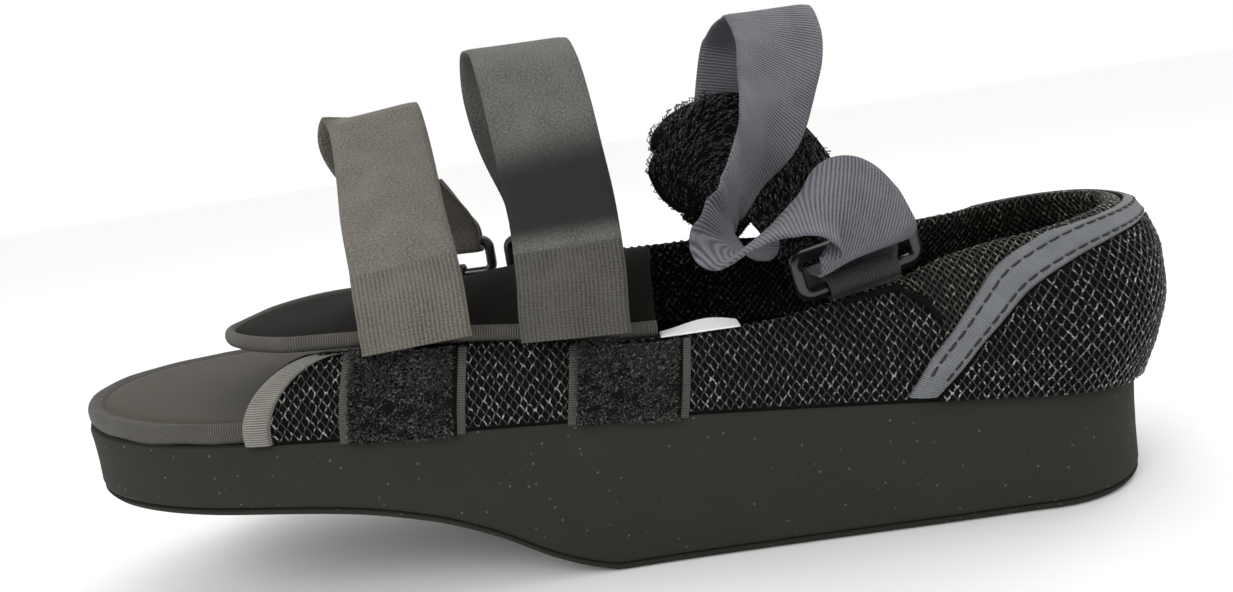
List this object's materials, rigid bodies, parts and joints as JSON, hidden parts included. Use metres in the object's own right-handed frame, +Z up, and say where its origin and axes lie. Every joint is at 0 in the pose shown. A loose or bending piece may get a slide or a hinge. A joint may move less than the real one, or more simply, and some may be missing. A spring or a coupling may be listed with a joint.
{
  "type": "post operative shoe",
  "caption": "Open-toed forefoot off-loading post operative shoe with a foam wedge sole, mesh upper, padded flap and webbing straps through rings.",
  "frame": {"origin": "on the floor, at the middle of the flat tread under heel and arch", "axes": "+X to the toe, +Y to the shoe's left side, +Z up from the floor"},
  "size_m": [0.3015, 0.1108, 0.1388],
  "materials": {
    "outsole": "matt moulded sheet",
    "foam": "matt closed-cell foam",
    "footbed": "brushed textile",
    "binding": "ribbed tape",
    "mesh": "spacer mesh",
    "loop_pile": "brushed loop pile",
    "flap": "brushed textile",
    "hook_tape": "woven hook tape",
    "webbing": "woven webbing",
    "webbing_ankle": "woven webbing",
    "ring": "smooth moulded",
    "tab": "mesh fabric",
    "tag": "plain satin"
  },
  "bodies": {
    "root": {"outsole": "outsole", "midsole": "foam", "insole": "footbed", "toe_binding": "binding", "upper": "mesh", "heel_counter": "mesh", "counter_binding": "binding", "quarter_binding_left": "binding", "quarter_binding_right": "binding", "loop_patch_front": "loop_pile", "loop_patch_middle": "loop_pile", "instep_flap": "flap", "flap_binding": "binding", "hook_tab_front": "hook_tape", "strap_front": "webbing", "hook_tab_middle": "hook_tape", "strap_middle": "webbing", "strap_ankle": "webbing_ankle", "ankle_band": "loop_pile", "ring_front": "ring", "ring_tab_front": "tab", "ring_middle": "ring", "ring_tab_middle": "tab", "ring_ankle": "ring", "ring_tab_ankle": "tab", "blank_tag": "tag"}
  },
  "joints": []
}
